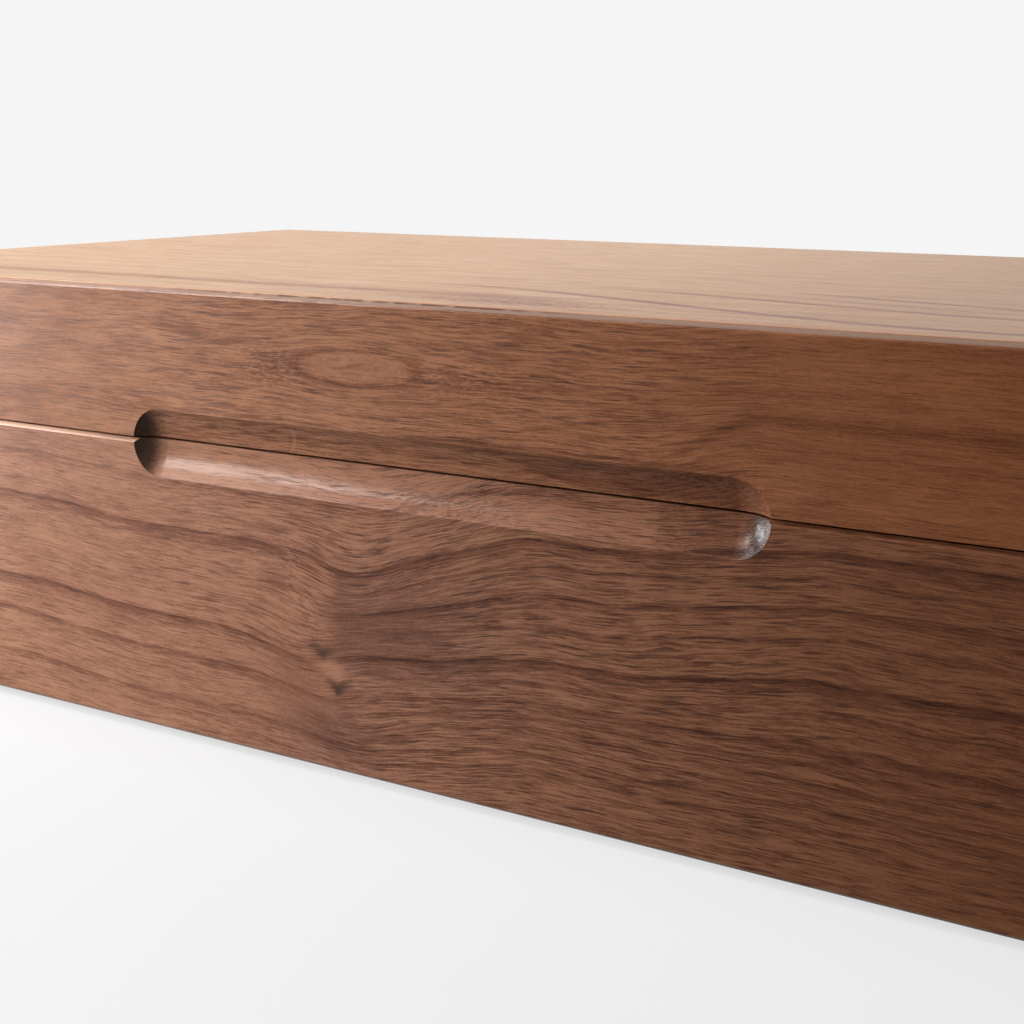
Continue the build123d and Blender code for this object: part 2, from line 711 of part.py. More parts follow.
def all_parts():
    """Every node's name with its solid, or with its list of separate solids."""
    parts = case_parts() | lid_parts() | drawer_parts()
    parts |= numbered("row_divider", [row_divider(y) for y in divider_ys()])
    parts |= numbered("cross_divider", [cross_divider(x) for x in divider_xs()])
    parts |= numbered("drawer_divider", [drawer_divider(i) for i in range(DRAWER_DIVIDERS)])
    parts |= numbered("watch_cushion", watch_cushions())
    for name, x in hinge_xs().items():
        parts[f"hinge_{name}_case_leaf"] = leaf(x, -1)
        parts[f"hinge_{name}_lid_leaf"] = leaf(x, 1)
        parts[f"hinge_{name}_pin"] = hinge_pin(x)
    return parts


def write(parts):
    os.makedirs("parts", exist_ok=True)
    for name, shape in parts.items():
        if isinstance(shape, list):
            shape = Compound(children=shape)
        export_step(shape, f"parts/{name}.step")


write(all_parts())
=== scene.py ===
import json
from math import cos, pi, radians, sin, sqrt

import bmesh
import bpy
import numpy as np
from mathutils import Matrix, Vector, kdtree, noise

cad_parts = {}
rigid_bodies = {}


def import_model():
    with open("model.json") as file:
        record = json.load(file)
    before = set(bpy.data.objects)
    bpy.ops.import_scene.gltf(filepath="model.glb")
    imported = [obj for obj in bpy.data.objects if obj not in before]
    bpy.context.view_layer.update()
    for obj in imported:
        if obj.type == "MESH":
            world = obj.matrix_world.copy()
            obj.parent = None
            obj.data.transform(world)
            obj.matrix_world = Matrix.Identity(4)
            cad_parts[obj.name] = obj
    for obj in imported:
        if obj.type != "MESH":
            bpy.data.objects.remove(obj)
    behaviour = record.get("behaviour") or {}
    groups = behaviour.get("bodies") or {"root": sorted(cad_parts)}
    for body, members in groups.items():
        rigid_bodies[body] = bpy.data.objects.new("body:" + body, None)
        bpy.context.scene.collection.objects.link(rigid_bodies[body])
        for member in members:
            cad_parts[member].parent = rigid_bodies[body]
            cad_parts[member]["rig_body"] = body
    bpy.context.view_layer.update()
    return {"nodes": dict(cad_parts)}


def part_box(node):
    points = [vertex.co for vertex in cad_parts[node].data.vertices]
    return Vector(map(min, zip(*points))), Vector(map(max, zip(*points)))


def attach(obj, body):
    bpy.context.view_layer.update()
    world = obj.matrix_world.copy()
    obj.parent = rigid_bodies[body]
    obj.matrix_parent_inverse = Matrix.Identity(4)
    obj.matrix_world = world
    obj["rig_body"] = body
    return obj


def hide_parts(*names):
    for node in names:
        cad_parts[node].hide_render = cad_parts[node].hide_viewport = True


# Walnut watch box with a drawer: the looks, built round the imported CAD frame.
# Metres in the CAD frame, except in the materials, where lengths are in millimetres.

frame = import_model()
NODES = frame["nodes"]
SCENE = bpy.context.scene


# Material building

EULER = 2.71828


def srgb(red, green, blue):
    """A colour given as 0 to 255, as the linear colour that a shader takes."""

    def linear(c):
        c /= 255
        return c / 12.92 if c <= 0.04045 else ((c + 0.055) / 1.055) ** 2.4
    return (linear(red), linear(green), linear(blue), 1.0)


def scaled(colour, factor):
    """A colour made lighter or darker, up to white."""
    return tuple(min(1.0, c * factor) for c in colour[:3]) + (1.0,)


class Value:
    """A number that varies over a surface: sums and products of them become Math nodes."""

    def __init__(self, shader, socket):
        self.shader = shader
        self.socket = socket

    def __add__(self, other):
        return self.shader.math("ADD", self, other)

    def __sub__(self, other):
        return self.shader.math("SUBTRACT", self, other)

    def __mul__(self, other):
        return self.shader.math("MULTIPLY", self, other)

    def __truediv__(self, other):
        return self.shader.math("DIVIDE", self, other)

    def __radd__(self, other):
        return self.shader.math("ADD", other, self)

    def __rsub__(self, other):
        return self.shader.math("SUBTRACT", other, self)

    def __neg__(self):
        return self.shader.math("MULTIPLY", self, -1.0)


class Shader:
    """Builds one material's nodes. A value can be given as a number, a Value or a socket."""

    def __init__(self, name):
        self.material = bpy.data.materials.new(name)
        self.material.use_nodes = True
        self.tree = self.material.node_tree
        self.tree.nodes.clear()

    def put(self, socket, value):
        """Sets an input, or links it."""
        if isinstance(value, Value):
            value = value.socket
        if isinstance(value, bpy.types.NodeSocket):
            self.tree.links.new(value, socket)
        else:
            socket.default_value = value

    def node(self, kind, settings=None, **inputs):
        """A new node with its settings and its inputs, whose names have _ in place of a space."""
        made = self.tree.nodes.new("ShaderNode" + kind)
        for key, value in (settings or {}).items():
            setattr(made, key, value)
        for key, value in inputs.items():
            self.put(made.inputs[key.replace("_", " ")], value)
        return made

    def math(self, operation, *values):
        """A Math node."""
        made = self.tree.nodes.new("ShaderNodeMath")
        made.operation = operation
        for socket, value in zip(made.inputs, values):
            self.put(socket, value)
        return Value(self, made.outputs[0])

    def axes(self, order=(0, 1, 2)):
        """The object coordinates in millimetres, in the order asked for."""
        place = self.node("TexCoord").outputs["Object"]
        split = self.node("SeparateXYZ", Vector=place)
        return [Value(self, split.outputs[i]) * 1000.0 for i in order]

    def vector(self, x, y, z):
        return self.node("CombineXYZ", X=x, Y=y, Z=z).outputs[0]

    def noise(self, x, y, z, detail=2.0, roughness=0.5, distortion=0.0):
        """Noise from 0 to 1 whose lumps are about one unit of x, y and z across."""
        made = self.node("TexNoise", Vector=self.vector(x, y, z), Scale=1.0, Detail=detail,
                         Roughness=roughness, Distortion=distortion)
        return Value(self, made.outputs["Fac"])

    def step(self, value, start, end, low=0.0, high=1.0):
        """Goes smoothly from low to high as value goes from start to end."""
        made = self.node("MapRange", {"interpolation_type": "SMOOTHSTEP"}, Value=value)
        for socket, number in zip(made.inputs[1:5], (start, end, low, high)):
            socket.default_value = number
        return Value(self, made.outputs[0])

    def hump(self, *offsets):
        """A bell curve of offsets given in its own widths."""
        total = None
        for offset in offsets:
            square = offset * offset
            total = square if total is None else total + square
        return self.math("POWER", EULER, -total)

    def ramp(self, value, stops):
        """A colour or number read off stops of (place, colour)."""
        made = self.node("ValToRGB", Fac=value)
        points = made.color_ramp.elements
        while len(points) < len(stops):
            points.new(0.5)
        for point, (place, colour) in zip(points, stops):
            point.position = place
            point.color = colour if isinstance(colour, tuple) else (colour, colour, colour, 1.0)
        return made.outputs[0]

    def mix(self, share, a, b, blend="MIX"):
        """Goes from colour a to colour b, or to a blend of the two, as share goes from 0 to 1."""
        made = self.node("Mix", {"data_type": "RGBA", "blend_type": blend})
        self.put(made.inputs[0], share)
        self.put(made.inputs[6], a)
        self.put(made.inputs[7], b)
        return made.outputs[2]

    def tinted(self, colour, factor, share):
        """The colour, multiplied by factor as far as share says."""
        return self.mix(share, colour, self.mix(1.0, colour, factor, "MULTIPLY"))

    def finish(self, colour, roughness, height, depth, **settings):
        """The surface itself: height, in units of depth millimetres, makes the bump."""
        surface = self.node("BsdfPrincipled", Base_Color=colour, Roughness=roughness)
        for key, value in settings.items():
            surface.inputs[key.replace("_", " ")].default_value = value
        bump = self.node("Bump", Height=height, Distance=depth / 1000.0, Strength=1.0)
        self.put(surface.inputs["Normal"], bump.outputs[0])
        output = self.node("OutputMaterial")
        self.tree.links.new(surface.outputs[0], output.inputs["Surface"])
        return self.material


# Walnut

# The object's axes along the grain, across it and through the board: a front, a top and a side board.
FACE = (0, 2, 1)
FLAT = (0, 1, 2)
END = (1, 2, 0)

# Light, middle and dark tones. The second set, for the top, is the walnut made paler and more golden: painted
# light from above.
BROWN = (srgb(160, 112, 85), srgb(122, 79, 58), srgb(74, 41, 29))
HONEY_PAINTED_LIGHT = (srgb(198, 160, 120), srgb(164, 114, 77), srgb(102, 46, 16))
PORE_INK = srgb(50, 28, 20)
END_GRAIN = (0.26, 0.28, 0.30, 1.0)

# How far apart two seeds are in the noise, the distance between growth rings, and how much the grain's lines
# tilt through the board.
SEED_SPREAD = 37.0
RING_SPACING = 9.5
LEVEL_TILT = 0.25


def walnut(name, axes, seed, flow=None, figure=None, tint=None, calm=None, polish=None,
           warp=5.0, palette=BROWN, rings=0.42, grain=1.0, length=1.0, near_end=1.0):
    """Walnut cut with its grain along the first of axes.

    flow moves the grain's lines, figure darkens them, tint changes the colour, and calm, where it is 1,
    leaves out the fine streaks. polish makes it smoother. warp is how far the grain wanders. rings is the
    strength of the growth rings and grain that of the fine streaks, and length makes the streaks longer.
    near_end is how dark the grain's end is where it faces the start of its axis.
    """
    s = Shader(name)
    u, v, w = s.axes(axes)
    facing = s.node("SeparateXYZ", Vector=s.node("TexCoord").outputs["Normal"]).outputs[axes[0]]
    end_grain = s.step(facing, 0.05, 0.42) + s.step(facing, -0.42, -0.05, near_end, 0.0)
    end_grain = end_grain * s.step(s.math("ABSOLUTE", facing), 0.92, 0.99, 1.0, 0.45)
    shift = seed * SEED_SPREAD
    drift = s.noise(u / 90.0 + shift, v / 26.0, w / 26.0)
    ripple = s.noise(u / 16.0 + shift, v / 9.0, w / 9.0)
    level = v + (drift - 0.5) * warp * 2.0 + (ripple - 0.5) * 1.3 + w * LEVEL_TILT
    if flow:
        level = level - flow(s, u, v)
    streak = s.noise(u / 38.0 + shift, level / 1.5, seed + 3.0, detail=3.0, roughness=0.6) - 0.5
    line = s.noise(u / (13.0 * length) + shift, level / 0.75, w / 0.75, roughness=0.6) - 0.5
    fibre = s.noise(u / (6.0 * length) + shift, level / 0.27, w / 0.27, roughness=0.6) - 0.5
    speck = s.noise(u / 0.9 + shift, level / 0.25, w / 0.9, roughness=0.7) - 0.5
    cloud = s.noise(u / 17.0 + shift, level / 5.0, w / 6.0 + 5.0, detail=4.0, roughness=0.65) - 0.5
    pores = s.step(s.noise(u / 6.0 + shift, level / 0.26 + 7.0, w / 0.26, detail=1.0), 0.50, 0.64)
    crowd = s.step(s.noise(u / 11.0 + shift, level / 1.4, w / 1.4 + 9.0), 0.35, 0.62, 0.25, 1.0)
    if calm:
        grain = (1.0 - calm(s, u, v)) * grain
    ink = pores * crowd * grain
    shade = (streak * 0.42 + line * 0.32 + fibre * 1.30) * grain + cloud * 0.36 + speck * 0.65 + 0.17
    if rings:
        turn = s.math("FRACT", level / RING_SPACING + drift * 3.0)
        edge = s.step(turn, 0.2, 0.94) - s.step(turn, 0.94, 1.0)
        shade = shade + edge * edge * rings
    if figure:
        shade = shade + figure(s, u, v, w, level)
    light, middle, dark = palette
    colour = s.ramp(shade + ink * 0.16, [(0.0, light), (0.45, middle), (1.0, dark)])
    colour = s.mix(ink * 0.42, colour, PORE_INK)
    if tint:
        colour = tint(s, colour, u, v, w)
    colour = s.tinted(colour, END_GRAIN, end_grain)
    rough = 0.31 + line * 0.25 + ink * 0.12
    if polish:
        rough = rough - polish(s, v, w)
    return s.finish(colour, rough, fibre * 0.4 - ink, 0.012, Specular_IOR_Level=0.09)


# The drawer front and the lid's front are both cut by FACE: u is x, v is z and w is y. Their flat faces are
# at w -99.5, and the seam between them is at v 68. On the top, u is x and v is y.

# The lid's front top edge is sloped. These are the places where clear wood goes over into a painted grey
# reflection, by z on the lid's front and by -y on the top.
FRONT_SLOPE = (100.5, 100.75)
TOP_SLOPE = (98.3, 98.45)
# The colour of a painted highlight, where the drawer front's top slope catches the light at the left.
EDGE_HIGHLIGHT = srgb(218, 180, 154)

# The middles of the two knots and of the eye figure on the front, and half the eye's width and height.
UPPER_KNOT = (-24.4, 27.0)
LOWER_KNOT = (-20.5, 19.6)
KNOT_INK = srgb(72, 58, 48)
EYE = (-14.5, 87.9)
EYE_SIZE = (14.5, 3.4)

# The drawer front's growth rings: height on the face, the reach of their fading side, and their darkness.
# The first run through the whole front, and the others begin at the knots.
DRAWER_RINGS = ((59.5, 5.0, 0.5), (49.0, 7.0, 1.0), (28.6, 6.0, 1.0), (20.2, 4.0, 0.75), (9.6, 4.0, 0.55))
RIGHT_RINGS = ((44.2, 3.0, 0.45), (39.2, 5.0, 0.75), (34.4, 3.0, 0.4), (24.3, 2.5, 0.4),
               (17.2, 2.5, 0.5), (14.4, 3.0, 0.45), (12.0, 2.0, 0.4), (6.4, 2.5, 0.5))


def ring_edge(s, level, place, reach):
    """A growth ring's dark line: sharp on its upper side, and fading over reach on its lower side."""
    edge = s.step(level, place - reach, place) - s.step(level, place, place + 0.6)
    return edge * edge * edge * 0.75 + s.hump((level - place) / 0.55) * 0.35


def ring_edges(s, level, rings):
    """Growth rings given as place, reach and darkness."""
    total = 0.0
    for place, reach, dark in rings:
        total = ring_edge(s, level, place, reach) * dark + total
    return total


def scooped(s, w):
    """1 inside the finger groove, and 0 on the front's flat face."""
    return s.step(w, -99.35, -99.05)


def top_slope(s, v, w):
    """1 on the narrow slope along the drawer front's top edge."""
    return s.step(v, 66.8, 66.95) * s.step(w, -98.75, -98.6, 1.0, 0.0)


def drawer_polish(s, v, w):
    """The groove is cut and rubbed smoother than the flat face, and so is the top edge."""
    groove = scooped(s, w) * s.step(v, 67.4, 67.7, 1.0, 0.0)
    return s.math("MAXIMUM", groove, top_slope(s, v, w)) * 0.12


def lid_polish(s, v, w):
    """Smooth in the groove and along the foot of the front edge's slope, and dull above that."""
    return scooped(s, w) * 0.11 + s.step(v, 100.15, 100.3) * 0.16 - s.step(v, *FRONT_SLOPE) * 0.42


def top_polish(s, v, w):
    """The top is dull on its front slope."""
    return s.step(v, -98.5, -98.35, -0.26, 0.0)


def painted_edge_reflection(s, colour, v, u, slope):
    """A painted grey reflection on a board's edge, over a slope along v."""
    share = s.step(v, *slope)
    grey = s.ramp((u + 100.0) / 200.0, [(0.0, srgb(136, 100, 82)), (0.6, srgb(134, 110, 98))])
    return s.mix(share * 0.85, colour, grey)


def redder(s, colour, u, far):
    """A front board's colour, deeper and redder towards the right, where it is multiplied by far: partly the
    wood's own tone, partly painted shade where the light falls off.
    """
    return s.tinted(colour, far, s.step(u, -70.0, 140.0))


def drawer_flow(s, u, v):
    """The lines sink towards the knots, and rise again beyond them."""
    low_down = s.hump((v - 26.0) / 12.0)
    centre = u + 16.0 + low_down * 14.0
    depth = s.step(v, 4.0, 20.0, 1.6, 3.3) * s.step(v, 47.0, 58.0, 1.0, 0.15)
    climb = 5.5 + s.step(v, 30.0, 55.0, 0.0, 4.0)
    start = s.step(u, -120.0, -70.0, 2.5, 0.0)
    far = s.step(u, 40.0, 95.0, 0.0, 5.0) * s.step(v, 22.0, 38.0, 0.3, 1.0)
    return start - s.hump(centre / 12.0) * depth + s.step(u, -14.0, 34.0) * climb + far


def drawer_calm(s, u, v):
    """The smooth smoky wood beside and below the knots, and the even wood at both ends."""
    beside = s.step(u, -25.0, -20.0) * s.step(u, -4.0, 16.0, 1.0, 0.0) * s.hump((v - 36.0 - u * 0.2) / 10.0)
    below = s.hump((u + 31.0) / 13.0, (v - 15.0) / 10.0)
    ends = s.step(u, -90.0, 0.0, 0.28, -0.35) + s.step(u, 60.0, 115.0, 0.0, 0.40)
    return s.math("MINIMUM", beside * 0.60 + below * 0.85, 0.80) + ends


def knot_shape(s, u, v):
    """Two small knots: a soft smudge, and below it a dark heart with a notched top."""
    out, up = s.math("ABSOLUTE", u - UPPER_KNOT[0]), v - UPPER_KNOT[1]
    smudge = s.hump(out / 2.8, (up - out * 0.35) / 1.3) * 0.8 + s.hump(out / 0.8, up / 0.7) * 0.3
    out, up = s.math("ABSOLUTE", u - LOWER_KNOT[0]), v - LOWER_KNOT[1]
    heart = s.hump(out / 2.5, (up - out * 0.6) / 1.25) * 0.8 + s.hump(out / 0.75, (up + 0.2) / 0.8) * 0.5
    return s.math("MINIMUM", smudge + heart, 1.2)


def drawer_figure(s, u, v, w, level):
    """Growth rings, the knots with the smoke and curls round them, and the groove's own lines."""
    level = level - w * LEVEL_TILT
    broken = s.noise(u / 7.0, level / 0.9, 3.0, detail=3.0, roughness=0.6)
    beyond = s.step(u, -30.0, -2.0)
    rings = ring_edges(s, level, DRAWER_RINGS) + ring_edges(s, level, RIGHT_RINGS) * beyond
    lines = rings * s.step(u, -70.0, 0.0, 0.95, 1.05)
    lines = lines * (1.0 - s.hump((u + 26.0) / 11.0, (v - 23.0) / 8.0) * 0.75)
    knots = knot_shape(s, u, v)
    pale = s.hump((u + 21.3) / 3.0, (v - 23.7) / 1.7) * 0.62
    smoke = s.step(u, -24.0, -19.0) * s.step(u, -4.0, 26.0, 1.0, 0.0)
    smoke = smoke * s.hump((v - 36.0 - u * 0.2) / 11.0) * 0.26
    low = s.hump((u + 22.0) / 14.0, (v - 9.0) / 6.5) * 0.20
    low = low + s.hump((u + 32.0) / 7.0, (v - 19.0) / 6.0) * 0.15
    slant = s.noise((u - v * 0.45) / 2.4, (v + u * 0.45) / 0.7, 6.0, detail=3.0, roughness=0.6) - 0.5
    column = s.hump((u + 30.0 + (v - 39.0) * 0.40) / 3.6)
    column = column * s.step(v, 28.0, 34.0) * s.step(v, 46.0, 52.0, 1.0, 0.0)
    curls = s.hump((u + 28.0) / 4.5, (v - 64.5) / 3.5)
    rise = s.step(u, -8.0, 24.0) * 3.6 + 62.6
    vein = s.hump((v - rise) / 0.9) * s.step(u, -12.0, 2.0) * s.step(u, 36.0, 60.0, 1.0, 0.0)
    # The groove is darker from u 53 on towards its right end.
    darker_right_end = s.step(u, 52.0, 54.5) * 0.30
    mottle = (s.noise(u / 13.0, v / 6.0, 13.0, detail=3.0) - 0.5) * s.step(u, -70.0, -20.0, 0.5, 0.0)
    shade = mottle + lines * (broken * 1.3 - 0.05) * 0.80 + knots * 0.68 - pale + smoke + low
    shade = shade + (column + curls) * slant * 1.7 - column * 0.06 - curls * 0.15
    return shade + scooped(s, w) * (vein * 0.3 + darker_right_end - 0.12)


def drawer_tint(s, colour, u, v, w):
    """Greyer by the knots, with a painted highlight along the top edge's slope at the left, and deeper and
    redder towards the right, partly with painted shade.
    """
    zone = s.step(u, -24.0, -18.0) * s.step(u, 5.0, 40.0, 1.0, 0.0) * s.hump((v - 34.0) / 13.0)
    zone = zone + s.hump((u + 22.0) / 14.0, (v - 9.0) / 7.0)
    colour = s.tinted(colour, (0.84, 0.90, 1.02, 1.0), zone * 0.75)
    colour = s.mix(knot_shape(s, u, v) * 0.62, colour, KNOT_INK)
    colour = s.mix(1.0, colour, (0.98, 1.03, 1.14, 1.0), "MULTIPLY")
    # A painted highlight along the top edge's slope at the left.
    painted_highlight = top_slope(s, v, w) * s.step(u, -125.0, -62.0, 0.8, 0.0)
    colour = s.mix(painted_highlight, colour, EDGE_HIGHLIGHT)
    # Deeper and redder towards the right: partly the wood's own tone, partly painted shade.
    return redder(s, colour, u, (0.50, 0.40, 0.30, 1.0))


def eye_radius(s, u, v):
    """Distance from the lid's eye figure, which is 1 on its oval outline."""
    across = (u - EYE[0]) / EYE_SIZE[0]
    up = (v - EYE[1]) / EYE_SIZE[1]
    return s.math("SQRT", across * across + up * up)


def arch_height(s, u):
    """The height of the lid's arched line, which rises over the groove's right end."""
    return s.step(u, 51.0, 75.0) * 9.6 + 76.0


def lid_flow(s, u, v):
    """The lines part round the eye and rise with the arch."""
    eye = s.hump((u - EYE[0]) / 19.0, (v - EYE[1]) / 5.5) * (v - EYE[1]) * 0.72
    arch = s.step(u, 50.0, 78.0) * 6.0 * s.step(v, 70.0, 94.0, 1.0, 0.2)
    return eye + arch


def lid_calm(s, u, v):
    """The eye's smooth inside, and the even wood at both ends."""
    ends = s.step(u, -100.0, -55.0, 0.25, -0.15) + s.step(u, 45.0, 90.0, 0.0, 0.60)
    return s.step(eye_radius(s, u, v), 0.75, 1.05, 0.72, 0.0) + ends


def lid_figure(s, u, v, w, level):
    """The eye with the freckles beside it, the arch, and in the groove a painted shadow, a pale painted
    reflection line, and painted shade along its rim.
    """
    radius = eye_radius(s, u, v)
    inside = s.step(radius, 0.8, 1.1, 1.0, 0.0)
    outline = s.hump((radius - 1.08) / 0.13) * s.noise(u / 4.0, v / 2.0, 2.0) * 0.55
    freckles = s.noise(u / 1.5, v / 0.40, 4.0, detail=3.0, roughness=0.6) - 0.5
    near_eye = s.hump((u + 36.0) / 9.0, (v - 87.0) / 5.0) + s.hump((u - 12.0) / 13.0, (v - 87.5) / 3.5) * 0.8
    above = v - arch_height(s, u)
    arch = s.hump(above / 1.3) * s.step(u, 51.0, 64.0) * 0.22
    under = s.step(above, -9.0, 0.0) * s.step(above, 0.0, 0.6, 1.0, 0.0)
    curve = s.step(u, 4.0, 42.0) * -6.5 + 75.2
    shadow = s.step(v - curve, -0.5, 1.0) * 0.26 + s.hump((v - curve) / 0.6) * 0.14
    bulge = (v - 73.5) * (v - 73.5) * 0.08
    # A pale curved line across the groove: a painted reflection.
    reflected_line = s.hump((u + 32.0 + bulge) / 0.45) * 0.30
    # Painted shade along the groove's upper rim.
    rim = s.hump((v - 75.4) / 0.7) * s.step(u, -10.0, 8.0) * s.step(u, 68.0, 76.0, 1.0, 0.0) * 0.22
    mottle = (s.noise(u / 13.0, v / 6.0, 12.0, detail=3.0) - 0.5) * s.step(u, -70.0, -20.0, 0.7, 0.1)
    shade = mottle + outline - inside * 0.06 + near_eye * (freckles * 2.0 + 0.10) + arch
    shade = shade + under * s.step(u, 56.0, 72.0) * 0.10 + rim
    return shade + scooped(s, w) * (shadow * s.step(u, -6.0, 8.0) - reflected_line)


def lid_tint(s, colour, u, v, w):
    """Deeper and redder towards the right, partly with painted shade, with painted shade at the far left,
    greyer in the eye, a painted sheen in the groove's right end, and a painted grey reflection on the front
    edge's slope.
    """
    # Deeper and redder towards the right: partly the wood's own tone, partly painted shade.
    colour = redder(s, colour, u, (0.66, 0.52, 0.37, 1.0))
    # Painted shade at the far left.
    colour = s.tinted(colour, (0.91, 0.88, 0.83, 1.0), s.step(u, -115.0, -60.0, 1.0, 0.0))
    eye = s.step(eye_radius(s, u, v), 0.7, 1.05, 0.7, 0.0)
    colour = s.tinted(colour, (0.93, 0.96, 1.04, 1.0), eye)
    # A painted sheen in the groove's right end.
    dish_sheen = scooped(s, w) * s.step(u, 69.5, 72.5)
    colour = s.tinted(colour, (1.3, 1.4, 1.55, 1.0), dish_sheen)
    # A painted grey reflection on the front edge's slope.
    return painted_edge_reflection(s, colour, v, u, FRONT_SLOPE)


def top_line(s, u, v, place, bend, stretch, width, fade):
    """A brown line at v -place that comes forward by bend over a stretch of u, and fades in along u."""
    return s.hump((v + place + s.step(u, *stretch) * bend) / width) * s.step(u, *fade)


def top_figure(s, u, v, w, level):
    """A few long brown lines that run in from the right, and a freckled patch by the front edge."""
    uneven = s.noise(u / 12.0, v / 3.0, 5.0, detail=3.0, roughness=0.6) * 0.9 + 0.35
    lines = (top_line(s, u, v, 58.5, 30.5, (-25.0, 110.0), 1.6, (-45.0, 20.0))
             + top_line(s, u, v, 46.0, 20.5, (-10.0, 120.0), 1.5, (0.0, 40.0)) * 0.8
             + top_line(s, u, v, 44.5, 15.5, (20.0, 135.0), 1.3, (35.0, 75.0)) * 0.45
             + top_line(s, u, v, 34.0, 18.0, (20.0, 135.0), 1.5, (42.0, 70.0)) * 0.8
             + top_line(s, u, v, 28.0, 14.0, (20.0, 135.0), 1.5, (65.0, 95.0)) * 0.4)
    band = s.hump((v + 79.0 - s.hump((u - 5.0) / 30.0) * 1.5) / 3.6) * s.step(u, 0.0, 35.0, 1.0, 0.0) * 0.40
    freckles = s.step(s.noise(u / 2.2, v / 0.9, 8.0), 0.42, 0.62)
    patch = s.hump((u - 14.0) / 21.0, (v + 86.0) / 6.5) * (freckles * 0.75 + 0.16)
    return lines * uneven * 0.9 + band + patch


def top_tint(s, colour, u, v, w):
    """Deeper and redder towards the right, partly with painted shade, and redder along the front, with a
    painted grey reflection on the slightly chipped front slope.
    """
    # Deeper and redder towards the right: partly the wood's own tone, partly painted shade.
    colour = s.tinted(colour, (0.61, 0.49, 0.35, 1.0), s.step(u, -60.0, 150.0))
    warm = s.hump((v + 97.3) / 1.1) * s.step(u, -140.0, 0.0, 0.5, 0.9)
    colour = s.tinted(colour, (1.08, 0.70, 0.30, 1.0), warm)
    # A painted grey reflection on the front slope.
    colour = painted_edge_reflection(s, colour, -v, u, TOP_SLOPE)
    chipped = s.step(s.noise(u / 5.0, v / 3.0, 11.0, detail=3.0), 0.36, 0.54)
    chips = s.hump((v + 98.5) / 0.2) * s.step(u, -75.0, -35.0) * s.step(u, 15.0, 45.0, 1.0, 0.1) * chipped
    return s.mix(chips * 0.9, colour, srgb(74, 38, 20))


def wood_materials():
    """Paints the walnut boards. The two front boards and the top have the figure of the photographed ones."""
    walnut_face = walnut("walnut_drawer", FACE, 1.0, drawer_flow, drawer_figure, drawer_tint, drawer_calm,
                         drawer_polish, warp=0.8, rings=0.0)
    walnut_lid = walnut("walnut_lid", FACE, 2.0, lid_flow, lid_figure, lid_tint, lid_calm, lid_polish,
                        warp=1.5, rings=0.10, length=1.2, near_end=0.4)
    # The top's paler, more golden tones are painted light from above.
    walnut_top = walnut("walnut_top", FLAT, 3.0, figure=top_figure, tint=top_tint, polish=top_polish,
                        palette=HONEY_PAINTED_LIGHT, rings=0.13, grain=0.35)
    walnut_back = walnut("walnut_back", FACE, 4.0)
    walnut_side = walnut("walnut_side", END, 5.0, near_end=0.35)
    dressed = {
        "drawer_front": walnut_face,
        "front_rail": walnut_back,
        "lid_front": walnut_lid,
        "lid_top": walnut_top,
        "lid_back": walnut_back,
        "back_panel": walnut_back,
        "lid_left": walnut_side,
        "lid_right": walnut_side,
        "side_panel_left": walnut_side,
        "side_panel_right": walnut_side,
    }
    for name, material in dressed.items():
        paint(NODES[name], material)


def paint(piece, material):
    """Gives a piece one material."""
    piece.data.materials.clear()
    piece.data.materials.append(material)


# Other materials

def pale_wood(name, axes, seed, light, dark, ring, roughness=0.5):
    """A pale, close-grained wood, with rings about ring millimetres apart."""
    s = Shader(name)
    u, v, w = s.axes(axes)
    slow = s.noise(u / 110.0 + seed * 11.0, v / 30.0, w / 30.0)
    level = v + (slow - 0.5) * 16.0 + w * 0.4
    rings = s.step(s.noise(level / ring, u / 300.0 + seed, seed), 0.38, 0.66)
    fibre = s.noise(u / 7.0 + seed, level / 0.3, w / 0.3, detail=3.0, roughness=0.65)
    fleck = s.step(s.noise(u / 1.6, v / 0.35 + seed, w / 0.5, detail=1.0), 0.62, 0.76)
    shade = rings * 0.55 + (fibre - 0.5) * 0.8 + fleck * 0.18 + 0.05
    colour = s.ramp(shade, [(0.0, light), (1.0, dark)])
    return s.finish(colour, roughness + (fibre - 0.5) * 0.2, fibre - fleck * 0.4, 0.02)


def suede(name, colour):
    """Microfibre cloth: a short nap that is brushed one way here and another way there."""
    s = Shader(name)
    x, y, z = s.axes()
    brushed = s.noise(x / 15.0, y / 15.0, z / 15.0, detail=3.0, roughness=0.55, distortion=0.6)
    nap = s.noise(x / 0.32, y / 0.32, z / 0.32, detail=3.0, roughness=0.7)
    shade = (brushed - 0.5) * 0.9 + (nap - 0.5) * 1.3 + 0.5
    mixed = s.ramp(shade, [(0.0, scaled(colour, 0.62)), (1.0, scaled(colour, 1.45))])
    return s.finish(mixed, 0.85 + (nap - 0.5) * 0.2, nap + brushed * 0.4, 0.12,
                    Specular_IOR_Level=0.2, Sheen_Weight=0.12, Sheen_Roughness=0.45)


def felt(name, colour):
    """Pressed wool, with a tangled surface."""
    s = Shader(name)
    x, y, z = s.axes()
    wool = s.noise(x / 0.5, y / 0.5, z / 0.5, detail=4.0, roughness=0.7, distortion=2.0)
    tone = s.ramp(wool, [(0.3, scaled(colour, 0.5)), (0.7, scaled(colour, 1.7))])
    return s.finish(tone, 0.95, wool, 0.25, Sheen_Weight=0.1)


